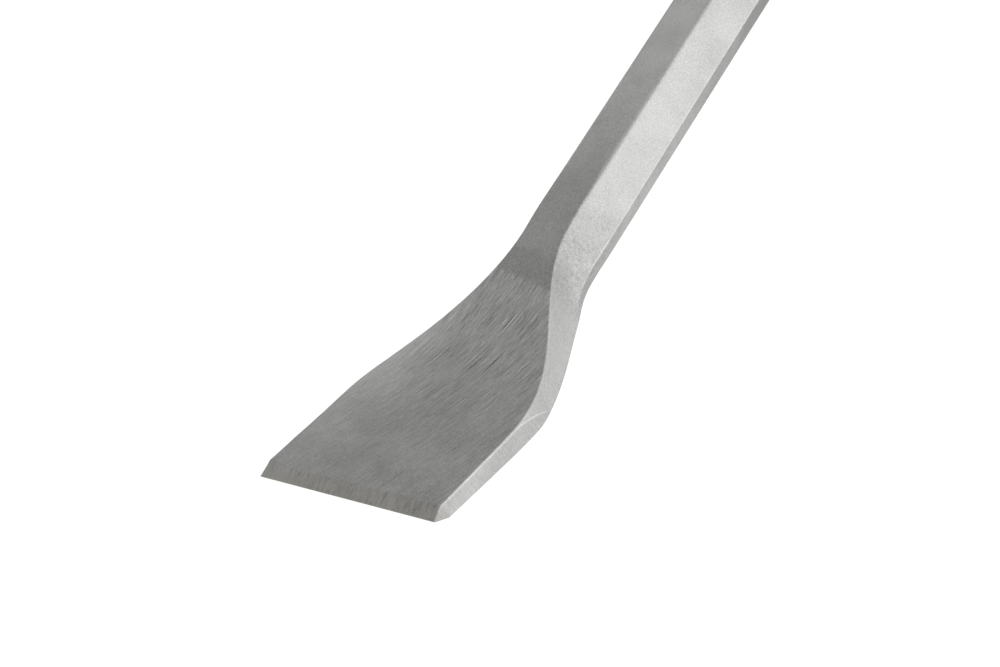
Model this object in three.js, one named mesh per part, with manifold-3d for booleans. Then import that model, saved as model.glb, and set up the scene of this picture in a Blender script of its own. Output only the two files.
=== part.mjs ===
// A cranked flat cold chisel: one steel forging, and a hand guard pushed onto its hexagonal bar.
// Millimetres, +Z up. The origin is the centre of the struck face. +Y points out of that face, along
// the bar, +X runs along the cutting edge, and +Z is the side that the blade is cranked towards.
import * as THREE from 'three';
import { mergeVertices } from 'three/addons/utils/BufferGeometryUtils.js';
import Module from 'manifold-3d';

const wasm = await Module();
wasm.setup();

// ---- Driving dimensions ----------------------------------------------------------------------

// Places along the tool are counted from the cutting edge, towards the head.
const LENGTH = 350;
const EDGE_WIDTH = 50;
const BAR_FLATS = 19;
const BAR_CORNER_RADIUS = 0.8;

const EDGE_LAND = 0.25;             // the honed edge is a narrow flat, not a line
const BEVEL_LENGTH = 3.2;           // with the blade's thickness, this gives 60 degrees in all
const SIDE_TRIM = 24.9;             // half the width of the blade's top near the edge, where it is ground
const BLADE_THICKNESS = 3.75;       // at the edge, before the bevels
const THICKNESS_GAIN = 0.055;       // per millimetre towards the neck
const BLADE_CORNER_RADIUS = 0.4;
const CRANK_SLOPE = 0.31;           // 17 degrees
const CRANK_BEND = [20, 77];        // the bend's two ends
const FLARE = [27, 82];             // where the width falls from the blade's to the bar's
const NECK = [38, 90];              // where the thickness grows from the blade's to the bar's
const SIDE_LEAN = 0.14;             // the blade's sides lean out towards the bottom, by this per millimetre
const BOTTOM_FLARE = [66, 84];      // where the bottom's width falls to that of the bar's bottom flat
const PARTING_DROP = [64, 79];      // where the crease down each side leaves the bar's corner
const PARTING_HEIGHT = 0.25;        // on the blade it runs at this share of the side's height
const TOP_DRAWN = 0.7;              // the bar is drawn down towards the neck: this much on top
const BOTTOM_DRAWN = 2.6;           // and this much below
const DRAWN_END = 205;              // where the bar is a regular hexagon again

const BARE_BAR = 2;                 // between the guard and the flats that a vice or spanner grips
const HEAD_CHAMFER = 7;
const STRUCK_FACE_RADIUS = 7.2;

const GUARD_START = 208;
const GUARD_END = 322;
const GAP = 0.3;
const SLEEVE_RADIUS = 13.5;
const COLLAR_RADIUS = 15.5;
const COLLAR_LENGTH = 4;
const SHIELD_PLATE_RADIUS = 30;
const SHIELD_PLATE = [311, 314.5];
const SHIELD_RADIUS = 36;
const SHIELD_WRAP = 2.2;            // soft material over the plate's head side
const SHIELD_WRAP_WIDTH = 4;
const SHIELD_RIM_ROUND = 3.5;
const SHIELD_FLARE_ROUND = 9;
const GRIP_RADIUS = 18;
const GRIP_LIP_RADIUS = 21;
const GRIP_LIP_LENGTH = 7;
const GRIP_GROOVES = 6;
const GROOVE_PITCH = 12;
const GROOVE_RADIUS = 1.6;
const FIRST_GROOVE = 229;
const ROUND_SEGMENTS = 36;
const BLADE_STEPS = 24;
const WELD = 1e-5;
const CLEAR = 1;                    // how far a cutting body passes the surface that it cuts

const barCorner = BAR_FLATS / Math.sqrt(3);
const barHalf = BAR_FLATS / 2;

// ---- Shape helpers ---------------------------------------------------------------------------

const mix = THREE.MathUtils.lerp;
const clamp = THREE.MathUtils.clamp;
const smooth = THREE.MathUtils.smoothstep;

// A closed body through sections that all have the same number of points, with flat ends.
function loft(sections) {
  const size = sections[0].length;
  const positions = sections.flat().flatMap((p) => [p.x, p.y, p.z]);
  const faces = [];
  for (let ring = 0; ring + 1 < sections.length; ring++) {
    for (let i = 0; i < size; i++) {
      const a = ring * size + i;
      const b = ring * size + ((i + 1) % size);
      faces.push(a, b, a + size, b, b + size, a + size);
    }
  }
  const lastRing = (sections.length - 1) * size;
  for (let i = 1; i + 1 < size; i++) {
    faces.push(0, i + 1, i);
    faces.push(lastRing, lastRing + i, lastRing + i + 1);
  }
  const geometry = new THREE.BufferGeometry();
  geometry.setAttribute('position', new THREE.Float32BufferAttribute(positions, 3));
  geometry.setIndex(faces);
  return geometry;
}

// Rounds each corner of a closed outline with a three-point curve that starts `radius` before it,
// or a little short of halfway to its neighbour.
function roundCorners(corners, radius) {
  const mostShare = 0.45;
  const share = (corner, other) => Math.min(radius / corner.distanceTo(other), mostShare);
  return corners.flatMap((corner, i) => {
    const before = corners[(i + corners.length - 1) % corners.length];
    const after = corners[(i + 1) % corners.length];
    const start = corner.clone().lerp(before, share(corner, before));
    const end = corner.clone().lerp(after, share(corner, after));
    const middle = start.clone().add(end).multiplyScalar(0.25).addScaledVector(corner, 0.5);
    return [start, middle, end];
  });
}

function solid(geometry) {
  const bare = geometry.clone();
  bare.deleteAttribute('normal');
  bare.deleteAttribute('uv');
  const merged = mergeVertices(bare, WELD);
  const mesh = new wasm.Mesh({
    numProp: 3,
    vertProperties: new Float32Array(merged.attributes.position.array),
    triVerts: new Uint32Array(merged.index.array),
  });
  return new wasm.Manifold(mesh);
}

function toGeometry(body) {
  const mesh = body.getMesh();
  const geometry = new THREE.BufferGeometry();
  geometry.setAttribute('position', new THREE.BufferAttribute(mesh.vertProperties, 3));
  geometry.setIndex(new THREE.BufferAttribute(mesh.triVerts, 1));
  geometry.computeVertexNormals();
  return geometry;
}

// A profile point: its radius, and its distance from the cutting edge.
const at = (radius, fromEdge) => new THREE.Vector2(radius, fromEdge - LENGTH);

function turned(profile) {
  return new THREE.LatheGeometry(profile, ROUND_SEGMENTS);
}

// Points of an arc about (radius, fromEdge), between two angles in degrees.
function arc(radius, fromEdge, size, startAngle, endAngle, steps) {
  return Array.from({ length: steps + 1 }, (_, i) => {
    const angle = THREE.MathUtils.degToRad(mix(startAngle, endAngle, i / steps));
    return at(radius + size * Math.cos(angle), fromEdge + size * Math.sin(angle));
  });
}

// ---- The forging -----------------------------------------------------------------------------

// Height of the blade's middle plane: straight up to the bend, then an arc that ends on the axis.
function crankHeight(fromEdge) {
  const [bendStart, bendEnd] = CRANK_BEND;
  const bendLength = bendEnd - bendStart;
  const inBend = clamp((bendEnd - fromEdge) / bendLength, 0, 1);
  const beforeBend = Math.max(bendStart - fromEdge, 0);
  return CRANK_SLOPE * ((bendLength * inBend * inBend) / 2 + beforeBend);
}

// The section's six corners at one place: top, side and bottom on the right, then on the left.
function sectionCorners(fromEdge) {
  const wide = 1 - smooth(fromEdge, ...FLARE);
  const deep = smooth(fromEdge, ...NECK);
  const drawn = clamp((DRAWN_END - fromEdge) / (DRAWN_END - FLARE[1]), 0, 1);
  const middle = crankHeight(fromEdge) * (1 - deep);
  const bladeHalf = ((BLADE_THICKNESS + THICKNESS_GAIN * fromEdge) / 2) * (1 - deep);
  const zTop = middle + bladeHalf + (barHalf - TOP_DRAWN * drawn) * deep;
  const zBottom = middle - bladeHalf - (barHalf - BOTTOM_DRAWN * drawn) * deep;

  // A flat that is drawn down is wider, because the sloping flats beside it stay where they are.
  const barTop = barCorner / 2 + (TOP_DRAWN * drawn) / Math.sqrt(3);
  const barBottom = barCorner / 2 + (BOTTOM_DRAWN * drawn) / Math.sqrt(3);
  const top = mix(barTop, SIDE_TRIM, wide);
  const bladeBottom = Math.min(top + SIDE_LEAN * (zTop - zBottom), EDGE_WIDTH / 2);
  const bottom = mix(bladeBottom, barBottom, smooth(fromEdge, ...BOTTOM_FLARE));

  // The crease is the hexagon's corner on the bar, and lies in the leaning side on the blade.
  const onBar = smooth(fromEdge, ...PARTING_DROP);
  const side = mix(mix(bottom, top, PARTING_HEIGHT), barCorner, onBar);
  const zSide = mix(mix(zBottom, zTop, PARTING_HEIGHT), 0, onBar);
  return outline(fromEdge, [top, side, bottom], [zTop, zSide, zBottom]);
}

function outline(fromEdge, [xTop, xSide, xBottom], [zTop, zSide, zBottom]) {
  const y = fromEdge - LENGTH;
  return [
    new THREE.Vector3(xTop, y, zTop),
    new THREE.Vector3(xSide, y, zSide),
    new THREE.Vector3(xBottom, y, zBottom),
    new THREE.Vector3(-xBottom, y, zBottom),
    new THREE.Vector3(-xSide, y, zSide),
    new THREE.Vector3(-xTop, y, zTop),
  ];
}

function cuttingEdge() {
  const middle = crankHeight(0);
  const half = EDGE_LAND / 2;
  const x = EDGE_WIDTH / 2;
  return roundCorners(outline(0, [x, x, x], [middle + half, middle, middle - half]), half / 2);
}

function forging() {
  const sections = [cuttingEdge()];
  for (let i = 0; i <= BLADE_STEPS; i++) {
    const fromEdge = mix(BEVEL_LENGTH, NECK[1], i / BLADE_STEPS);
    const radius = mix(BLADE_CORNER_RADIUS, BAR_CORNER_RADIUS, smooth(fromEdge, ...NECK));
    sections.push(roundCorners(sectionCorners(fromEdge), radius));
  }
  for (const fromEdge of [DRAWN_END, GUARD_END + BARE_BAR, LENGTH]) {
    sections.push(roundCorners(sectionCorners(fromEdge), BAR_CORNER_RADIUS));
  }
  return loft(sections);
}

// The round blank that the head is chamfered to. It is wider than the blade up to the chamfer.
function headBlank() {
  const chamferStart = LENGTH - HEAD_CHAMFER;
  return turned([
    at(0, -CLEAR),
    at(EDGE_WIDTH, -CLEAR),
    at(EDGE_WIDTH, chamferStart - CLEAR),
    at(barCorner, chamferStart - CLEAR),
    at(barCorner, chamferStart),
    at(STRUCK_FACE_RADIUS, LENGTH),
    at(0, LENGTH),
  ]);
}

function chiselBody() {
  return toGeometry(solid(forging()).intersect(solid(headBlank())));
}

// ---- The hand guard --------------------------------------------------------------------------

// A hexagon with a flat facing +Z, like the bar's, and a gap wider all round.
function hexagonalBore() {
  const radius = barCorner + (2 * GAP) / Math.sqrt(3);
  const bore = new THREE.CylinderGeometry(radius, radius, GUARD_END - GUARD_START + 2 * CLEAR, 6);
  bore.rotateY(Math.PI / 2);
  bore.translate(0, (GUARD_START + GUARD_END) / 2 - LENGTH, 0);
  return bore;
}

function guardCore() {
  const [plateStart, plateEnd] = SHIELD_PLATE;
  const ease = 1;
  const profile = [
    at(0, GUARD_START),
    at(COLLAR_RADIUS - ease, GUARD_START),
    at(COLLAR_RADIUS, GUARD_START + ease),
    at(COLLAR_RADIUS, GUARD_START + COLLAR_LENGTH),
    at(SLEEVE_RADIUS, GUARD_START + COLLAR_LENGTH),
    at(SLEEVE_RADIUS, plateStart),
    at(SHIELD_PLATE_RADIUS, plateStart),
    at(SHIELD_PLATE_RADIUS, plateEnd),
    at(COLLAR_RADIUS, plateEnd),
    at(COLLAR_RADIUS, GUARD_END - ease),
    at(COLLAR_RADIUS - ease, GUARD_END),
    at(0, GUARD_END),
  ];
  return toGeometry(solid(turned(profile)).subtract(solid(hexagonalBore())));
}

function grooves() {
  const points = [];
  for (let i = 0; i < GRIP_GROOVES; i++) {
    points.push(...arc(GRIP_RADIUS, FIRST_GROOVE + i * GROOVE_PITCH, GROOVE_RADIUS, 270, 90, 4));
  }
  return points;
}

// The soft grip: a ring round the sleeve that widens into the shield and folds over the plate's rim.
function guardGrip() {
  const [plateStart, plateEnd] = SHIELD_PLATE;
  const start = GUARD_START + COLLAR_LENGTH + GAP;
  const inner = SLEEVE_RADIUS + GAP;
  const plateRoom = SHIELD_PLATE_RADIUS + GAP;
  const lipRound = GRIP_LIP_LENGTH / 2;
  const rimTop = plateEnd + GAP + SHIELD_WRAP;
  const flareStart = rimTop - 2 * SHIELD_RIM_ROUND - SHIELD_FLARE_ROUND;
  const wrapInner = SHIELD_PLATE_RADIUS - SHIELD_WRAP_WIDTH;
  const profile = [
    at(inner, start),
    ...arc(GRIP_LIP_RADIUS - lipRound, start + lipRound, lipRound, 270, 420, 5),
    at(GRIP_RADIUS, start + GRIP_LIP_LENGTH + 1),
    ...grooves(),
    ...arc(GRIP_RADIUS + SHIELD_FLARE_ROUND, flareStart, SHIELD_FLARE_ROUND, 180, 90, 5),
    ...arc(SHIELD_RADIUS - SHIELD_RIM_ROUND, rimTop - SHIELD_RIM_ROUND, SHIELD_RIM_ROUND, 270, 450, 6),
    at(wrapInner, rimTop),
    at(wrapInner, plateEnd + GAP),
    at(plateRoom, plateEnd + GAP),
    at(plateRoom, plateStart - GAP),
    at(inner, plateStart - GAP),
    at(inner, start),
  ];
  return turned(profile);
}

// ---- Assembly --------------------------------------------------------------------------------

const steel = new THREE.MeshStandardMaterial({ color: 0xa3a3a1, roughness: 0.5, metalness: 0.9 });
const stiffPlastic = new THREE.MeshStandardMaterial({ color: 0x3a3c3f, roughness: 0.45, metalness: 0 });
const softPlastic = new THREE.MeshStandardMaterial({ color: 0x1d1e20, roughness: 0.8, metalness: 0 });

function named(name, geometry, material) {
  const mesh = new THREE.Mesh(geometry, material);
  mesh.name = name;
  return mesh;
}

const guard = new THREE.Group();
guard.add(named('guard_core', guardCore(), stiffPlastic));
guard.add(named('guard_grip', guardGrip(), softPlastic));

const chisel = new THREE.Group();
chisel.add(named('chisel_body', chiselBody(), steel));
chisel.add(guard);

export default chisel;
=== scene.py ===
import math

import bpy
import numpy as np
from mathutils import Matrix, Vector


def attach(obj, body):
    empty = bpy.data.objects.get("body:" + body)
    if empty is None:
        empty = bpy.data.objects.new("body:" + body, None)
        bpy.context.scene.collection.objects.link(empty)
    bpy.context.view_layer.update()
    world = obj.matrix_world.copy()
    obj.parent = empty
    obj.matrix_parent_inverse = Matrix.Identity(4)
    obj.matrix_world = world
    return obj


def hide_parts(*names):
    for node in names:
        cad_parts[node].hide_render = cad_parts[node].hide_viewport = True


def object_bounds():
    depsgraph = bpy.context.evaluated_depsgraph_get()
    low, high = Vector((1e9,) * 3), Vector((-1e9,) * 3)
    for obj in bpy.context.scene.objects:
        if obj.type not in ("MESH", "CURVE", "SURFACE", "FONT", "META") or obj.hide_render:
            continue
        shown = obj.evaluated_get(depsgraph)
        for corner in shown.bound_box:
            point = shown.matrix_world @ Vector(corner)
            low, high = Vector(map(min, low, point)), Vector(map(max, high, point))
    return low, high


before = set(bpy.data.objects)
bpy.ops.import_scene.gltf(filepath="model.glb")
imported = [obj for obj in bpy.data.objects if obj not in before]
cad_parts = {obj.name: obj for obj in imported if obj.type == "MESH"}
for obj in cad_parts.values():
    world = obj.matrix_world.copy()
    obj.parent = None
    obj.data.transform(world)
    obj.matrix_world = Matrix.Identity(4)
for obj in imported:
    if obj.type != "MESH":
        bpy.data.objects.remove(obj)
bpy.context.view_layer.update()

# ---- Dimensions, in millimetres ------------------------------------------------------------------
# Places along the tool are counted from the cutting edge. The main sizes are the CAD part's. The
# lower corners are sharper here, and the wandering bevel, the ground facets with their ridges and the
# grinding are only here.

MM = 0.001
LENGTH = 350
EDGE_WIDTH = 50
BAR_FLATS = 19
BAR_CORNER = BAR_FLATS / math.sqrt(3)
BAR_HALF = BAR_FLATS / 2
BAR_CORNER_RADIUS = 0.35
BAR_TOP_RADIUS = 0.8
SIDE_TRIM = 24.9
BLADE_THICKNESS = 3.75
THICKNESS_GAIN = 0.055
BLADE_CORNER_RADIUS = 0.4
BLADE_BOTTOM_RADIUS = 0.25
CRANK_SLOPE = 0.31
CRANK_BEND = (20, 77)
FLARE = (27, 82)
NECK = (38, 90)
TOP_DRAWN = 0.7
BOTTOM_DRAWN = 2.6
DRAWN_END = 205

# Bevels at the cutting edge.
EDGE_LAND = 0.25
BEVEL_LENGTH = 3.2
BEVEL_ROUND = 0.07
BEVEL_REACH = 6             # no bevel reaches this far
BEVEL_WANDER = 0.16
BEVEL_WAVE = 17
BEVEL_LEFT_GAIN = 0.9       # the bevel is longer by this much at its left end
BEVEL_LEFT_END = (17, 25)

# Sides of the blade and bar.
SIDE_LEAN = 0.14            # forging draft of the blade's sides, outwards towards the bottom
BOTTOM_LIMIT = EDGE_WIDTH / 2 + 0.1
BOTTOM_LIMIT_ROUND = 0.4
PARTING_DROP = (64, 79)     # where the die's parting line goes from the bar's corner to the bottom edge
SOFT_TOP_CORNER = (84, 104)  # the bar's top corners are rounder than the neck's
BOTTOM_FLARE = (66, 84)     # where the bottom flat widens to the blade's full underside
TOP_EDGE_WEAR = 0.18        # the blade's top corners vary by this share
TOP_EDGE_WAVE = 11
LOWEST_CREASE = 0.03        # as a share of the section's height
CREASE_ROUND = 0.2
BAR_CREASE_ROUND = 0.6
BAR_CREASE = (79, 95)
CREASE_ROOM = 0.9           # a crease is rounded over at most this share of the side beside it
CORNER_ROOM = 0.3           # and a corner's radius is at most this share of the section's height

# The ground facet on each side of the blade.
TRIM_START = 38.6           # its neck end, at the bottom edge
TRIM_FULL = 27.0            # and where it has climbed to just under the top edge
TRIM_TOP = 0.92
TRIM_CURVE = 1.8
TRIM_RIDGE = 0.25           # how far the ridge above the facet stands out
TRIM_RIDGE_RISE = 0.25
TRIM_RIDGE_FADE = 0.5
RIDGE_LIMIT = EDGE_WIDTH / 2 + 0.08
RIDGE_LIMIT_ROUND = 0.05

# Lengthwise grinding of the blade's top face.
GRIND_START = 67.5          # it begins on this line
GRIND_SLANT = 2.4
GRIND_LEAN = (0.33, 0.14)
GRIND_BEND_START = 28

# The head.
HEAD_CHAMFER = 7
HEAD_START = LENGTH - HEAD_CHAMFER
HEAD_MARGIN = 0.05
STRUCK_FACE_RADIUS = 7.2
FACE_EDGE_REACH = 1.5       # the struck face's edge is rounded over this length
FACE_EDGE_SLOPE = 2.5
FACE_EDGE_ROUND = 0.25

# The hand guard.
GUARD_START = 208
GUARD_END = 322
GAP = 0.3
SLEEVE_RADIUS = 13.5
COLLAR_RADIUS = 15.5
COLLAR_LENGTH = 4
CORE_EDGE_RADIUS = 0.9
SHIELD_PLATE_RADIUS = 30
SHIELD_PLATE = (311, 314.5)
SHIELD_RADIUS = 36
SHIELD_WRAP = 2.2
WRAP_WIDTH = 4
WRAP_ROUND = 0.8
RIM_ROUND = 3.5
FLARE_ROUND = 9
GRIP_RADIUS = 18
GRIP_LIP_RADIUS = 21
GRIP_LIP_LENGTH = 7
LIP_FOOT_ROUND = 1.2
LIP_FOOT_PLACE = 1.4
GRIP_GROOVES = 6
GROOVE_PITCH = 12
GROOVE_RADIUS = 1.6
FIRST_GROOVE = 229

SEED = 7
TINY = 1e-6


# ---- Small helpers -------------------------------------------------------------------------------

WANDER_WAVES = (1, 1.7, 2.9, 4.3)
WANDER_DIVISOR = 1.6


def mix(a, b, share):
    return a + (b - a) * share


def smooth(x, start, end):
    share = np.clip((x - start) / (end - start), 0, 1)
    return share * share * (3 - 2 * share)


def soft_min(a, b, roundness):
    return (a + b - np.sqrt((a - b) ** 2 + roundness ** 2)) / 2


def near(distance, width):
    """1 where a distance is 0, falling away smoothly over the width."""
    return np.exp(-(distance / width) ** 2)


def wander(x, wavelength, seed):
    """A smooth repeatable wobble that stays within 1.36 of zero."""
    random = np.random.default_rng(seed)
    phases = random.uniform(0, 2 * math.pi, len(WANDER_WAVES))
    waves = [
        np.sin(2 * math.pi * x * wave / wavelength + phase) / wave
        for wave, phase in zip(WANDER_WAVES, phases)
    ]
    return sum(waves) / WANDER_DIVISOR


# ---- The forging's section -----------------------------------------------------------------------

HALF_FLAT_STEPS = 16
LAST_FLAT_POINT = 0.985     # keeps a flat level right up to its rounded corner
CORNER_STEPS = 6
SIDE_STEPS = 22


def crank_height(s):
    bend_start, bend_end = CRANK_BEND
    bend_length = bend_end - bend_start
    in_bend = np.clip((bend_end - s) / bend_length, 0, 1)
    return CRANK_SLOPE * (bend_length * in_bend ** 2 / 2 + np.maximum(bend_start - s, 0))


def rounded_corner(start, corner, end, steps):
    """Points on a curve from start to end that is drawn towards the corner."""
    t = np.linspace(0, 1, steps + 1)[:, None]
    return (1 - t) ** 2 * start + 2 * t * (1 - t) * corner + t ** 2 * end


class Section:
    """The forging's section at one distance from the cutting edge."""

    def __init__(self, s):
        self.s = s
        wide = 1 - smooth(s, *FLARE)
        deep = smooth(s, *NECK)
        drawn = np.clip((DRAWN_END - s) / (DRAWN_END - FLARE[1]), 0, 1)
        self.set_heights(deep, drawn)
        self.set_half_widths(wide, drawn)
        self.set_corner_radii(wide, deep)
        self.x_side, self.z_side = self.side_point()

    def set_heights(self, deep, drawn):
        self.middle = crank_height(self.s) * (1 - deep)
        self.blade_half = (BLADE_THICKNESS + THICKNESS_GAIN * self.s) / 2
        half = self.blade_half * (1 - deep)
        self.z_top = self.middle + half + (BAR_HALF - TOP_DRAWN * drawn) * deep
        self.z_bottom = self.middle - half - (BAR_HALF - BOTTOM_DRAWN * drawn) * deep
        self.height = self.z_top - self.z_bottom

    def set_half_widths(self, wide, drawn):
        self.x_top = mix(BAR_CORNER / 2 + TOP_DRAWN * drawn / math.sqrt(3), SIDE_TRIM, wide)
        leaned = self.x_top + SIDE_LEAN * self.height
        blade_bottom = soft_min(leaned, BOTTOM_LIMIT, BOTTOM_LIMIT_ROUND)
        bar_bottom = BAR_CORNER / 2 + BOTTOM_DRAWN * drawn / math.sqrt(3)
        self.x_bottom = mix(blade_bottom, bar_bottom, smooth(self.s, *BOTTOM_FLARE))

    def set_corner_radii(self, wide, deep):
        wear = TOP_EDGE_WEAR * wander(self.s, TOP_EDGE_WAVE, SEED) * wide
        on_bar = smooth(self.s, *SOFT_TOP_CORNER)
        self.top_radius = mix(BLADE_CORNER_RADIUS * (1 + wear), BAR_TOP_RADIUS, on_bar)
        self.bottom_radius = mix(BLADE_BOTTOM_RADIUS, BAR_CORNER_RADIUS, deep)

    def chord(self, z):
        return mix(self.x_bottom, self.x_top, (z - self.z_bottom) / self.height)

    def side_point(self):
        """The crease on the side: the bar's corner, or the ridge above the blade's ground facet."""
        return self.ridge_point() if self.s < TRIM_START else self.parting_point()

    def ridge_point(self):
        run = np.clip((TRIM_START - self.s) / (TRIM_START - TRIM_FULL), 0, 1)
        climb = TRIM_TOP * (1 - (1 - run) ** TRIM_CURVE)
        z = self.z_bottom + self.height * np.clip(climb, LOWEST_CREASE, 1)
        stand = TRIM_RIDGE * smooth(run, 0, TRIM_RIDGE_RISE) * (1 - TRIM_RIDGE_FADE * run)
        return soft_min(self.chord(z) + stand, RIDGE_LIMIT, RIDGE_LIMIT_ROUND), z

    def parting_point(self):
        on_bar = smooth(self.s, *PARTING_DROP)
        z = mix(self.z_bottom + LOWEST_CREASE * self.height, 0, on_bar)
        return mix(self.chord(z), BAR_CORNER, on_bar), z

    def side(self, z):
        """Half width at a height, with the crease rounded."""
        rise_below = (self.x_side - self.x_bottom) / (self.z_side - self.z_bottom)
        rise_above = (self.x_top - self.x_side) / (self.z_top - self.z_side)
        away = z - self.z_side
        room = min(self.z_side - self.z_bottom, self.z_top - self.z_side)
        wanted = mix(CREASE_ROUND, BAR_CREASE_ROUND, smooth(self.s, *BAR_CREASE))
        reach = min(wanted, CREASE_ROOM * room)
        bend = np.where(abs(away) < reach, (away ** 2 + reach ** 2) / (2 * reach), abs(away))
        return self.x_side + (rise_above + rise_below) / 2 * away + (rise_above - rise_below) / 2 * bend

    def corner(self, x, z, radius, outward):
        """A rounded corner between a flat and the side. It runs from the flat to the side."""
        radius = min(radius, CORNER_ROOM * self.height)
        start = np.array([x - radius, z])
        end = np.array([self.side(z - outward * radius), z - outward * radius])
        return rounded_corner(start, np.array([x, z]), end, CORNER_STEPS)

    def half_outline(self):
        """From the middle of the top flat, round the right side, to the middle of the bottom flat."""
        top = self.corner(self.x_top, self.z_top, self.top_radius, 1)
        bottom = self.corner(self.x_bottom, self.z_bottom, self.bottom_radius, -1)[::-1]
        spread = np.append(np.linspace(0, 1, HALF_FLAT_STEPS), 1)
        spread[-2] = LAST_FLAT_POINT
        top_flat = np.stack([spread * top[0, 0], np.full(len(spread), self.z_top)], 1)
        bottom_flat = np.stack([spread[::-1] * bottom[-1, 0], np.full(len(spread), self.z_bottom)], 1)
        away = np.linspace(0, 1, SIDE_STEPS + 1)[:-1] ** 2      # closest together at the crease
        above = self.z_side + (top[-1, 1] - self.z_side) * away[::-1]
        below = self.z_side + (bottom[0, 1] - self.z_side) * away[1:]
        heights = np.concatenate([above, below])
        side = np.stack([self.side(heights), heights], 1)
        return np.concatenate([top_flat, top[1:], side, bottom, bottom_flat[1:]])

    def outline(self):
        right = self.half_outline()
        left = right[::-1][1:-1] * (-1, 1)
        return np.concatenate([right, left])


# ---- The forging's mesh --------------------------------------------------------------------------

SHARP_ANGLE = math.radians(35)

# Places and widths of the marks that the steel's material reads.
MARKS = ("from_edge", "fan", "top", "facet", "ridge", "corner", "bevel", "shaded_lower_flat")
TOP_TOLERANCE = 0.02
SIDE_MARGIN = 0.5
CREASE_BLEND = (-0.05, 0.15)
# the ridge mark carries a painted highlight: a bright line along the side's crease
RIDGE_WIDTH = 0.22
TRIM_RIDGE_SHARE = 0.6
TRIM_RIDGE_START = (-0.5, 3)
FAINT_RIDGE = 0.35
FAINT_RIDGE_END = (26, 31)
BAR_RIDGE_START = (72, 84)
# the bar's lower flats get painted shade from here on, darker towards the head
LOWER_FLAT_START = (72, 90)
# the corner mark is a painted highlight along the blade's corners, fading out near the neck
CORNER_WIDTH = 0.35
CORNER_BAND = (0.8, 0.1)
CORNER_FADE = (30, 44)
BEVEL_FADE = (0.25, 0.45)


def bevel_length(x):
    """The bevel was honed by hand, and it is longest at its left end."""
    hand = BEVEL_WANDER * wander(x, BEVEL_WAVE, SEED + 1)
    return BEVEL_LENGTH + hand + BEVEL_LEFT_GAIN * smooth(-x, *BEVEL_LEFT_END)


def bevel_share(s, x, blade_half):
    """How much of the blade's thickness is left at a place on the bevels."""
    if s >= BEVEL_REACH:
        return np.ones(len(x))
    sloping = EDGE_LAND / 2 + (blade_half - EDGE_LAND / 2) * s / bevel_length(x)
    return soft_min(sloping, blade_half, BEVEL_ROUND) / blade_half


def head_limit(s):
    """The largest radius at a place on the head: its chamfer, then the struck face's round edge."""
    share = np.clip((s - HEAD_START) / HEAD_CHAMFER, 0, 1)
    cone = mix(BAR_CORNER + HEAD_MARGIN, STRUCK_FACE_RADIUS, share)
    to_end = LENGTH - s
    if to_end >= FACE_EDGE_REACH:
        return cone
    face_edge = STRUCK_FACE_RADIUS + to_end * FACE_EDGE_SLOPE + HEAD_MARGIN
    return soft_min(cone, face_edge, FACE_EDGE_ROUND)


def head_shrink(s, x, z):
    """How far each point moves in towards the axis, to lie within the head."""
    if s <= HEAD_START - 1:
        return np.ones(len(x))
    return np.minimum(1, head_limit(s) / np.maximum(np.hypot(x, z), TINY))


def stations():
    """Places along the tool, close together except on the plain bar."""
    return np.concatenate([
        np.linspace(0, 2.6, 9),
        np.linspace(2.75, 4, 11),
        np.arange(4.5, 104, 0.6),
        np.arange(106, HEAD_START - 1, 3.5),
        np.linspace(HEAD_START - 0.5, LENGTH, 24),
    ])


def grind_drift(s):
    """How far the grinding lines have moved across the blade: they lean, and more so near the edge."""
    lean_edge, lean_neck = GRIND_LEAN
    run = np.clip(s - GRIND_BEND_START, 0, None)
    return lean_edge * s - (lean_edge - lean_neck) * run ** 2 / (2 * (GRIND_START - GRIND_BEND_START))


def ring_points(section, outline):
    """The section's outline in space, with the bevels and the head's chamfer cut."""
    x, height = outline[:, 0], outline[:, 1]
    z = section.middle + (height - section.middle) * bevel_share(section.s, x, section.blade_half)
    shrink = head_shrink(section.s, x, z)
    return np.stack([x * shrink, np.full(len(x), section.s - LENGTH), z * shrink], 1)


def ring_marks(section, outline):
    """Where each kind of surface lies on a section."""
    s = section.s
    across, height = outline[:, 0], outline[:, 1]
    x = abs(across)
    on_side = x > section.x_bottom - SIDE_MARGIN
    on_top = (height > section.z_top - TOP_TOLERANCE) & (x <= section.x_top)
    under_crease = smooth(section.z_side - height, *CREASE_BLEND) * on_side
    on_crease = near(height - section.z_side, RIDGE_WIDTH) * on_side
    faint = mix(FAINT_RIDGE, 1, smooth(s, *FAINT_RIDGE_END))
    on_trim = smooth(TRIM_START - s, *TRIM_RIDGE_START) * faint
    from_flat = np.minimum(abs(height - section.z_top), abs(height - section.z_bottom))
    band = smooth(x, section.x_top - CORNER_BAND[0], section.x_top - CORNER_BAND[1])
    bevel_end = bevel_length(across)
    return {
        "from_edge": np.full(len(x), s),
        "fan": across - grind_drift(s),
        "top": np.where(on_top, 1.0, 0.0),
        "facet": under_crease * (s < TRIM_START),
        # painted highlight line along the side's crease, on the bar and above each ground facet
        "ridge": on_crease * (TRIM_RIDGE_SHARE * on_trim + smooth(s, *BAR_RIDGE_START)),
        # painted highlight along the blade's corners
        "corner": near(from_flat, CORNER_WIDTH) * band * (1 - smooth(s, *CORNER_FADE)),
        "bevel": 1 - smooth(s, bevel_end - BEVEL_FADE[0], bevel_end + BEVEL_FADE[1]),
        # where the painted shade on the bar's lower flats goes
        "shaded_lower_flat": under_crease * smooth(s, *LOWER_FLAT_START),
    }


def skin_faces(ring_count, size):
    """Faces between neighbouring rings, and one across each end."""
    faces = []
    for ring in range(ring_count - 1):
        here = ring * size
        ahead = here + size
        for i in range(size):
            j = (i + 1) % size
            faces.append((here + i, ahead + i, ahead + j, here + j))
    last = (ring_count - 1) * size
    faces.append(tuple(range(size)))
    faces.append(tuple(reversed(range(last, last + size))))
    return faces


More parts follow.
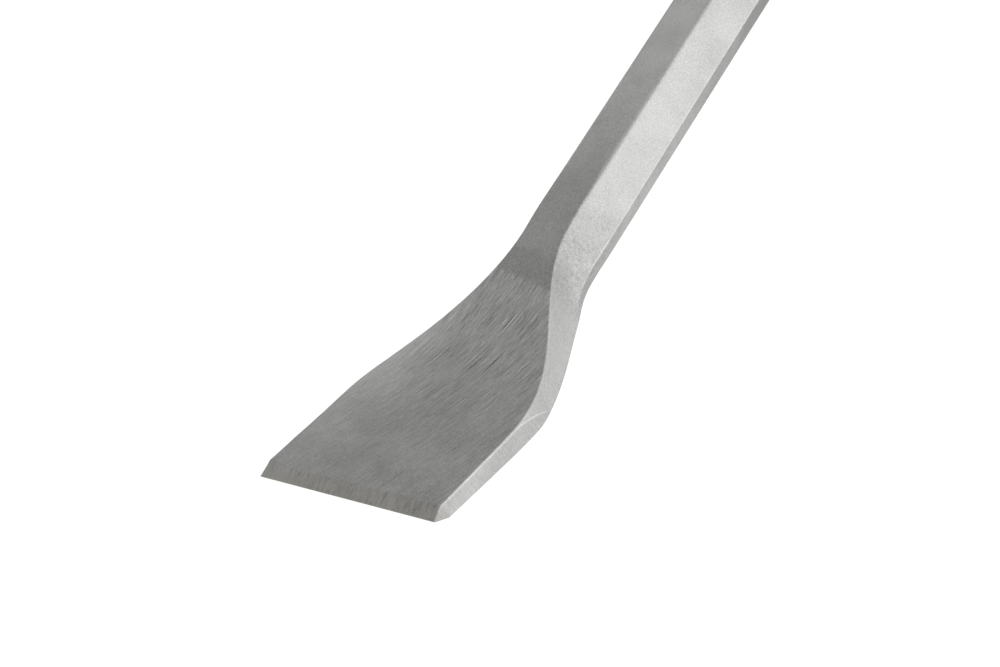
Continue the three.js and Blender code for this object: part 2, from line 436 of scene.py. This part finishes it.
def forging_mesh():
    sections = [Section(s) for s in stations()]
    outlines = [section.outline() for section in sections]
    points = [ring_points(*pair) for pair in zip(sections, outlines)]
    marks = [ring_marks(*pair) for pair in zip(sections, outlines)]
    joined_marks = {name: np.concatenate([values[name] for values in marks]) for name in MARKS}
    return np.concatenate(points), skin_faces(len(points), len(points[0])), joined_marks


def add_mesh(name, points, faces, marks=None):
    mesh = bpy.data.meshes.new(name)
    mesh.from_pydata((np.asarray(points) * MM).tolist(), [], faces)
    mesh.validate()
    mesh.polygons.foreach_set("use_smooth", [True] * len(mesh.polygons))
    mesh.set_sharp_from_angle(angle=SHARP_ANGLE)
    for mark, values in (marks or {}).items():
        mesh.attributes.new(mark, "FLOAT", "POINT").data.foreach_set("value", values.astype(np.float32))
    piece = bpy.data.objects.new(name, mesh)
    bpy.context.scene.collection.objects.link(piece)
    return piece


# ---- Material helpers ----------------------------------------------------------------------------

NOISE_RANGE = (0.3, 0.7)    # the part of a noise's values that is spread out


class Nodes:
    """A short way to write node trees."""

    def __init__(self, tree):
        self.tree = tree

    def add(self, kind, settings=None, **inputs):
        node = self.tree.nodes.new(kind)
        for key, value in (settings or {}).items():
            setattr(node, key, value)
        for key, value in inputs.items():
            self.put(node.inputs[key.replace("_", " ")], value)
        return node

    def put(self, socket, value):
        if isinstance(value, bpy.types.NodeSocket):
            self.tree.links.new(value, socket)
        else:
            socket.default_value = value

    def put_all(self, node, values):
        for socket, value in zip(node.inputs, values):
            self.put(socket, value)
        return node.outputs[0]

    def math(self, operation, *values):
        return self.put_all(self.add("ShaderNodeMath", {"operation": operation}), values)

    def mark(self, name):
        return self.add("ShaderNodeAttribute", {"attribute_name": name}).outputs["Fac"]

    def ramp(self, value, low, high, out_low=0.0, out_high=1.0):
        node = self.add("ShaderNodeMapRange", {"interpolation_type": "SMOOTHSTEP"})
        return self.put_all(node, (value, low, high, out_low, out_high))

    def spread(self, noise, out_low, out_high):
        """A noise, spread over a range of results."""
        return self.ramp(noise, *NOISE_RANGE, out_low, out_high)

    def vector(self, x, y, z):
        return self.put_all(self.add("ShaderNodeCombineXYZ"), (x, y, z))

    def coordinate(self, vector, axis):
        return self.add("ShaderNodeSeparateXYZ", Vector=vector).outputs[axis]

    def scaled(self, vector, scales):
        node = self.add("ShaderNodeVectorMath", {"operation": "MULTIPLY"}, Vector=vector)
        node.inputs[1].default_value = scales
        return node.outputs[0]

    def noise(self, vector, scale, detail=2.0, rough=0.5):
        node = self.add("ShaderNodeTexNoise", Vector=vector, Scale=scale, Detail=detail, Roughness=rough)
        return node.outputs["Fac"]

    def streaks(self, across, across_scale, along, along_scale, layer, detail=2.0, rough=0.5):
        """Noise drawn out along the tool. Each layer has a pattern of its own."""
        place = self.vector(self.times(across, across_scale), self.times(along, along_scale), layer)
        return self.noise(place, 1.0, detail, rough)

    def blend(self, share, a, b):
        node = self.add("ShaderNodeMix", {"data_type": "RGBA"})
        for index, value in ((0, share), (6, a), (7, b)):
            self.put(node.inputs[index], value)
        return node.outputs[2]

    def total(self, *values):
        result = values[0]
        for value in values[1:]:
            result = self.math("ADD", result, value)
        return result

    def times(self, *values):
        result = values[0]
        for value in values[1:]:
            result = self.math("MULTIPLY", result, value)
        return result

    def rest(self, share):
        """What a share leaves of 1."""
        return self.math("SUBTRACT", 1.0, share)

    def tinted(self, tone, red, green, blue):
        """A colour from one tone and how strong it is in red, green and blue."""
        parts = [tone if strength == 1 else self.times(tone, strength) for strength in (red, green, blue)]
        return self.put_all(self.add("ShaderNodeCombineColor"), parts)

    def bump(self, height, strength):
        """A normal from a relief in millimetres."""
        return self.add("ShaderNodeBump", Strength=strength, Distance=MM, Height=height).outputs[0]


def new_material(name, **shader_values):
    material = bpy.data.materials.new(name)
    material.use_nodes = True
    nodes = Nodes(material.node_tree)
    shader = material.node_tree.nodes["Principled BSDF"]
    for key, value in shader_values.items():
        shader.inputs[key.replace("_", " ")].default_value = value
    return material, nodes, shader


def dress(nodes, shader, colour, roughness, normal):
    nodes.put(shader.inputs["Base Color"], colour)
    nodes.put(shader.inputs["Roughness"], roughness)
    nodes.put(shader.inputs["Normal"], normal)


def in_millimetres(nodes):
    """The piece's own coordinates, in millimetres."""
    place = nodes.add("ShaderNodeTexCoord").outputs["Object"]
    node = nodes.add("ShaderNodeVectorMath", {"operation": "SCALE"}, Vector=place, Scale=1 / MM)
    return node.outputs[0]


def grey(level, warm=0.0):
    """A grey colour, a little towards brown where warm is above 0."""
    return (level * (1 + warm), level, level * (1 - 1.6 * warm), 1)


# ---- Forged steel --------------------------------------------------------------------------------

STEEL_TINT = 0.55
STEEL_LEVEL = 0.53
STEEL_ROUGHNESS = 0.5
STEEL_BUMP = 0.8
STEEL_COLOUR = (1, 1, 0.985)
STAIN = grey(0.4, 0.07)


class SteelPatterns:
    """The marks, areas and noises that the steel's colour, roughness and relief share."""

    def __init__(self, nodes):
        self.place = in_millimetres(nodes)
        self.across = nodes.coordinate(self.place, "X")
        self.marks = {name: nodes.mark(name) for name in MARKS}
        s, fan = self.marks["from_edge"], self.marks["fan"]
        self.mottle = nodes.noise(self.place, 1.1, 3, 0.7)
        self.grain = nodes.noise(self.place, 3.6, 2, 0.6)
        self.ground = ground_share(nodes, self.marks, self.across)
        self.lines = nodes.streaks(fan, 4.5, s, 0.1, 0.0, 1, 0.6)
        self.fine_lines = nodes.streaks(fan, 8.0, s, 0.3, 5.0, 2, 0.7)
        self.hone = nodes.streaks(self.across, 1.5, s, 0.25, 2.0, 3, 0.6)
        self.turned = nodes.ramp(s, HEAD_START, HEAD_START + 0.6)
        self.rings = turning_rings(nodes, self.place, s)


def ground_share(nodes, marks, across):
    """How fully the blade's top is ground. It begins on a slanting ragged line near the neck."""
    s = marks["from_edge"]
    line = nodes.total(GRIND_START, nodes.times(across, -GRIND_SLANT / 10))
    ragged = nodes.times(nodes.noise(nodes.vector(nodes.times(marks["fan"], 1.6), 0.0, 3.0), 1.0), 1.6)
    started = nodes.ramp(nodes.math("SUBTRACT", nodes.total(line, ragged), s), 0.0, 1.2)
    return nodes.times(started, marks["top"], nodes.ramp(s, 3.0, 60.0, 0.3, 1.0))


def turning_rings(nodes, place, s):
    """Fine rings on the head's chamfer and on the struck face."""
    off_axis = nodes.scaled(place, (1, 0, 1))
    length = nodes.add("ShaderNodeVectorMath", {"operation": "LENGTH"}, Vector=off_axis)
    radius = length.outputs["Value"]
    return nodes.noise(nodes.vector(nodes.times(radius, 3.0), 0.0, nodes.times(s, 2.0)), 1.0, 2, 0.6)


def forged_skin(nodes, steel):
    """Shot-blasted forged skin: soft clouds, a mottle of dents about 1 mm across, and fine grain."""
    clouds = nodes.noise(steel.place, 0.09, 3)
    skin = nodes.total(
        nodes.spread(clouds, -0.035, 0.035),
        nodes.spread(steel.mottle, -0.035, 0.035),
        nodes.spread(steel.grain, -0.07, 0.07),
    )
    return nodes.times(skin, nodes.rest(nodes.times(steel.ground, 0.45)))


def grinding_tone(nodes, steel):
    """The grinding's lines, with a few dark and bright scratches."""
    scratches = nodes.streaks(steel.marks["fan"], 7.0, steel.marks["from_edge"], 0.08, 9.0, 0, 0.5)
    streak = nodes.total(
        0.05,
        nodes.ramp(steel.lines, 0.4, 0.6, -0.055, 0.055),
        nodes.spread(steel.fine_lines, -0.13, 0.13),
        nodes.ramp(scratches, 0.28, 0.35, -0.2, 0.0),
        nodes.ramp(scratches, 0.7, 0.74, 0.0, 0.14),
    )
    return nodes.times(steel.ground, streak)


def belt_tone(nodes, marks):
    """Marks across the ground facets."""
    facet = marks["facet"]
    belt_place = nodes.vector(2.0, nodes.times(marks["from_edge"], 2.2), nodes.times(facet, 0.6))
    return nodes.times(facet, nodes.spread(nodes.noise(belt_place, 1.0, 2, 0.6), -0.03, 0.0))


def neck_side_tone(nodes, steel):
    """The neck's sides are darker, by a mottled amount."""
    s = steel.marks["from_edge"]
    along = (nodes.ramp(s, 64.0, 74.0), nodes.ramp(s, 78.0, 100.0, 1.0, 0.0))
    dents = nodes.ramp(steel.mottle, 0.35, 0.65, -0.11, -0.05)
    return nodes.times(nodes.rest(steel.marks["top"]), *along, dents)


def steel_level(nodes, steel):
    """How bright the steel is, as a sum of what each area adds or takes away."""
    marks = steel.marks
    s = marks["from_edge"]
    return nodes.total(
        STEEL_LEVEL,
        forged_skin(nodes, steel),
        nodes.times(steel.ground, nodes.ramp(steel.across, -22.0, -4.0, 0.17, 0.0)),
        nodes.times(marks["top"], nodes.ramp(s, 66.0, 165.0, -0.15, 0.07)),
        grinding_tone(nodes, steel),
        nodes.times(marks["bevel"], nodes.total(-0.05, nodes.spread(steel.hone, -0.07, 0.07))),
        belt_tone(nodes, marks),
        neck_side_tone(nodes, steel),
        # painted shade: the bar's lower flats darken towards the head
        nodes.times(marks["shaded_lower_flat"], nodes.ramp(s, 80.0, 190.0, 0.0, -0.16)),
        # painted highlight along the side's crease
        nodes.times(marks["ridge"], 0.2),
        nodes.times(steel.turned, nodes.spread(steel.rings, -0.05, 0.11)),
        # painted highlight along the blade's corners
        nodes.times(marks["corner"], 0.02),
    )


def steel_colour(nodes, steel):
    """Bare steel, with brown stains on the honed bevels."""
    stain = nodes.streaks(steel.across, 0.22, steel.marks["from_edge"], 0.5, 7.0, 2)
    stained = nodes.times(steel.marks["bevel"], nodes.ramp(stain, 0.35, 0.65, 0.15, 0.6))
    bare = nodes.tinted(steel_level(nodes, steel), *STEEL_COLOUR)
    return nodes.blend(stained, bare, STAIN)


def steel_roughness(nodes, steel):
    return nodes.total(
        STEEL_ROUGHNESS,
        nodes.spread(steel.mottle, -0.05, 0.05),
        nodes.times(steel.ground, -0.06),
        nodes.times(steel.marks["ridge"], -0.1),
    )


def steel_relief(nodes, steel):
    """The relief, in millimetres. The dents are shallower where the steel was ground or honed."""
    facet, bevel = steel.marks["facet"], steel.marks["bevel"]
    worked = nodes.math("MAXIMUM", steel.ground, nodes.math("MAXIMUM", facet, bevel))
    dents_left = nodes.math("MAXIMUM", nodes.rest(worked), 0.25)
    lines = nodes.total(nodes.times(steel.lines, 0.03), nodes.times(steel.fine_lines, 0.012))
    return nodes.total(
        nodes.times(steel.mottle, 0.1, dents_left),
        nodes.times(steel.grain, 0.05),
        nodes.times(steel.ground, lines),
        nodes.times(bevel, steel.hone, 0.03),
        nodes.times(steel.turned, steel.rings, 0.06),
    )


def steel_material():
    material, nodes, shader = new_material("forged_steel", Metallic=1.0, Specular_Tint=grey(STEEL_TINT))
    steel = SteelPatterns(nodes)
    normal = nodes.bump(steel_relief(nodes, steel), STEEL_BUMP)
    dress(nodes, shader, steel_colour(nodes, steel), steel_roughness(nodes, steel), normal)
    return material


# ---- The hand guard's shapes ---------------------------------------------------------------------

TURN_STEPS = 180
BORE_MARK = 5.0             # profile points at this radius stand for the hexagonal bore
EDGE_ROUND_STEPS = 4


def arc(radius, from_edge, size, start_angle, end_angle, steps):
    angles = np.radians(np.linspace(start_angle, end_angle, steps + 1))
    return [(radius + size * math.cos(a), from_edge + size * math.sin(a)) for a in angles]


def turned_mesh(profile, radius_at=None):
    """A closed profile of (radius, from edge) points, turned about the bar's axis."""
    points = []
    for turn in range(TURN_STEPS):
        angle = 2 * math.pi * turn / TURN_STEPS
        for radius, from_edge in profile:
            r = radius_at(radius, angle) if radius_at else radius
            points.append((r * math.cos(angle), from_edge - LENGTH, r * math.sin(angle)))
    return points, turned_faces(len(profile))


def turned_faces(count):
    faces = []
    for turn in range(TURN_STEPS):
        here = turn * count
        ahead = (turn + 1) % TURN_STEPS * count
        for i in range(count):
            j = (i + 1) % count
            faces.append((here + i, here + j, ahead + j, ahead + i))
    return faces


def hexagon_radius(across_flats, angle):
    """Distance from the axis to a hexagon with a flat on top."""
    sector = (angle - math.pi / 2 + math.pi / 6) % (math.pi / 3) - math.pi / 6
    return across_flats / 2 / math.cos(sector)


def towards(corner, neighbour, radius):
    """The point on a profile's side where the rounding of its corner begins."""
    side = neighbour - corner
    length = np.linalg.norm(side)
    return corner + side / max(length, TINY) * min(radius, 0.45 * length)


def rounded(profile, radius):
    """The same closed profile with each corner rounded."""
    corners = np.array(profile, float)
    result = []
    for before, corner, after in zip(np.roll(corners, 1, 0), corners, np.roll(corners, -1, 0)):
        start = towards(corner, before, radius)
        end = towards(corner, after, radius)
        result += rounded_corner(start, corner, end, EDGE_ROUND_STEPS).tolist()
    return result


def core_radius(radius, angle):
    """The sleeve is round outside, with a hexagonal bore."""
    if radius > BORE_MARK + CORE_EDGE_RADIUS:
        return radius
    return hexagon_radius(BAR_FLATS + 2 * GAP, angle) + (radius - BORE_MARK)


def guard_core_mesh():
    plate_start, plate_end = SHIELD_PLATE
    profile = [
        (BORE_MARK, GUARD_START),
        (COLLAR_RADIUS, GUARD_START),
        (COLLAR_RADIUS, GUARD_START + COLLAR_LENGTH),
        (SLEEVE_RADIUS, GUARD_START + COLLAR_LENGTH),
        (SLEEVE_RADIUS, plate_start),
        (SHIELD_PLATE_RADIUS, plate_start),
        (SHIELD_PLATE_RADIUS, plate_end),
        (COLLAR_RADIUS, plate_end),
        (COLLAR_RADIUS, GUARD_END),
        (BORE_MARK, GUARD_END),
    ]
    return turned_mesh(rounded(profile, CORE_EDGE_RADIUS), core_radius)


def grip_lip(start):
    """The thick lip at the blade's end, and the small hollow at its foot."""
    lip_round = GRIP_LIP_LENGTH / 2
    lip = arc(GRIP_LIP_RADIUS - lip_round, start + lip_round, lip_round, 270, 420, 16)
    foot_place = start + GRIP_LIP_LENGTH + LIP_FOOT_PLACE
    return lip + arc(GRIP_RADIUS + LIP_FOOT_ROUND, foot_place, LIP_FOOT_ROUND, 230, 180, 4)


def grip_grooves():
    profile = []
    for i in range(GRIP_GROOVES):
        profile += arc(GRIP_RADIUS, FIRST_GROOVE + i * GROOVE_PITCH, GROOVE_RADIUS, 270, 90, 10)
    return profile


def grip_shield(rim_top, wrap_inner):
    """The flare from the grip to the shield, its rounded rim, and the edge of the wrap."""
    flare_place = rim_top - 2 * RIM_ROUND - FLARE_ROUND
    profile = arc(GRIP_RADIUS + FLARE_ROUND, flare_place, FLARE_ROUND, 180, 90, 12)
    profile += arc(SHIELD_RADIUS - RIM_ROUND, rim_top - RIM_ROUND, RIM_ROUND, 270, 450, 18)
    return profile + arc(wrap_inner + WRAP_ROUND, rim_top - WRAP_ROUND, WRAP_ROUND, 90, 180, 4)


def guard_grip_mesh():
    plate_start, plate_end = SHIELD_PLATE
    start = GUARD_START + COLLAR_LENGTH + GAP
    inner = SLEEVE_RADIUS + GAP
    plate_room = SHIELD_PLATE_RADIUS + GAP
    wrap_inner = SHIELD_PLATE_RADIUS - WRAP_WIDTH
    profile = [(inner, start)]
    profile += grip_lip(start)
    profile += grip_grooves()
    profile += grip_shield(plate_end + GAP + SHIELD_WRAP, wrap_inner)
    profile += [
        (wrap_inner, plate_end + GAP),
        (plate_room, plate_end + GAP),
        (plate_room, plate_start - GAP),
        (inner, plate_start - GAP),
    ]
    return turned_mesh(profile)


# ---- The hand guard's plastics -------------------------------------------------------------------

def mould_seam(nodes, place):
    """A fine raised line down each side, where the two halves of the mould met."""
    return nodes.ramp(nodes.math("ABSOLUTE", nodes.coordinate(place, "Z")), 0.1, 0.3, 1.0, 0.0)


def scuffs(nodes, place):
    """Thin paler scratches from handling."""
    return nodes.ramp(nodes.noise(nodes.scaled(place, (0.5, 0.08, 0.5)), 1.6, 3, 0.6), 0.63, 0.72)


def stiff_plastic_material():
    material, nodes, shader = new_material("stiff_plastic", Metallic=0.0, IOR=1.49)
    place = in_millimetres(nodes)
    orange_peel = nodes.noise(place, 1.6, 2, 0.5)
    flow = nodes.noise(place, 0.12, 3, 0.6)
    tone = nodes.total(nodes.spread(flow, 0.036, 0.052), nodes.times(scuffs(nodes, place), 0.03))
    colour = nodes.tinted(tone, 1, 1.02, 1.1)
    rough = nodes.spread(orange_peel, 0.36, 0.5)
    dress(nodes, shader, colour, rough, nodes.bump(nodes.times(orange_peel, 0.03), 0.5))
    return material


def soft_plastic_material():
    material, nodes, shader = new_material("soft_plastic", Metallic=0.0, IOR=1.5)
    place = in_millimetres(nodes)
    cells = nodes.add("ShaderNodeTexVoronoi", {"feature": "SMOOTH_F1"}, Vector=place, Scale=1.5)
    stipple = cells.outputs["Distance"]
    dust = nodes.noise(place, 0.2, 4, 0.65)
    dust_tone = nodes.ramp(dust, 0.35, 0.7, 0.014, 0.028)
    tone = nodes.total(dust_tone, nodes.times(scuffs(nodes, place), 0.02))
    colour = nodes.tinted(tone, 1, 1, 1.06)
    rough = nodes.spread(dust, 0.62, 0.78)
    relief = nodes.total(nodes.times(stipple, 0.08), nodes.times(mould_seam(nodes, place), 0.12))
    dress(nodes, shader, colour, rough, nodes.bump(relief, 0.6))
    return material


# ---- Pieces --------------------------------------------------------------------------------------

def add_piece(name, mesh_parts, material, body, node):
    piece = add_mesh(name, *mesh_parts)
    piece.data.materials.append(material)
    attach(piece, body)
    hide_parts(node)


add_piece("forging", forging_mesh(), steel_material(), "chisel", "chisel_body")
add_piece("guard_sleeve", guard_core_mesh(), stiff_plastic_material(), "guard", "guard_core")
add_piece("guard_cover", guard_grip_mesh(), soft_plastic_material(), "guard", "guard_grip")


# ---- Floor, light and camera, in metres ----------------------------------------------------------

FLOOR_HALF = 6.0
FLOOR_GLOW = 0.85
SOFTBOX_PLACE = (1.3, 0.1, 0.55)
SOFTBOX_TARGET = (0, -0.25, 0)
SOFTBOX_SIZE = (2.2, 1.3)
SOFTBOX_POWER = 9.1
CAMERA_PLACE = (0.22523, -0.45214, 0.22899)
CAMERA_RIGHT = (0.76459, 0.48389, -0.42574)
CAMERA_UP = (-0.12027, 0.75607, 0.64335)
CAMERA_LENS = 57.6
CAMERA_SENSOR = 36


def add_to_scene(name, data):
    item = bpy.data.objects.new(name, data)
    bpy.context.scene.collection.objects.link(item)
    return item


def add_floor():
    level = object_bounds()[0][2]
    mesh = bpy.data.meshes.new("floor")
    signs = ((-1, -1), (1, -1), (1, 1), (-1, 1))
    corners = [(x * FLOOR_HALF, y * FLOOR_HALF, level) for x, y in signs]
    mesh.from_pydata(corners, [], [(0, 1, 2, 3)])
    floor = add_to_scene("floor", mesh)
    material, _, shader = new_material("white_floor", Roughness=0.9)
    shader.inputs["Base Color"].default_value = grey(0.35)
    shader.inputs["Emission Color"].default_value = grey(1.0)
    shader.inputs["Emission Strength"].default_value = FLOOR_GLOW
    mesh.materials.append(material)


def add_world():
    """A pale dome, brightest at the horizon."""
    world = bpy.data.worlds.new("studio")
    world.use_nodes = True
    nodes = Nodes(world.node_tree)
    direction = nodes.add("ShaderNodeTexCoord").outputs["Generated"]
    level = nodes.ramp(nodes.coordinate(direction, "Z"), 0.03, 0.22, 0.95, 0.6)
    background = world.node_tree.nodes["Background"]
    nodes.put(background.inputs["Color"], nodes.vector(level, level, level))
    bpy.context.scene.world = world


def add_softbox():
    light = bpy.data.lights.new("side_softbox", "AREA")
    light.shape = "RECTANGLE"
    light.size, light.size_y = SOFTBOX_SIZE
    light.energy = SOFTBOX_POWER
    box = add_to_scene("side_softbox", light)
    box.location = SOFTBOX_PLACE
    aim = Vector(SOFTBOX_TARGET) - Vector(SOFTBOX_PLACE)
    box.rotation_euler = aim.to_track_quat("-Z", "Y").to_euler()


def add_camera():
    camera = bpy.data.cameras.new("camera")
    camera.lens = CAMERA_LENS
    camera.sensor_width = CAMERA_SENSOR
    camera.clip_start = 0.01
    view = add_to_scene("camera", camera)
    right = Vector(CAMERA_RIGHT)
    up = Vector(CAMERA_UP)
    turn = Matrix((right, up, right.cross(up))).transposed().to_4x4()
    view.matrix_world = Matrix.Translation(CAMERA_PLACE) @ turn
    bpy.context.scene.camera = view


add_floor()
add_world()
add_softbox()
add_camera()
bpy.context.scene.view_settings.view_transform = "Standard"
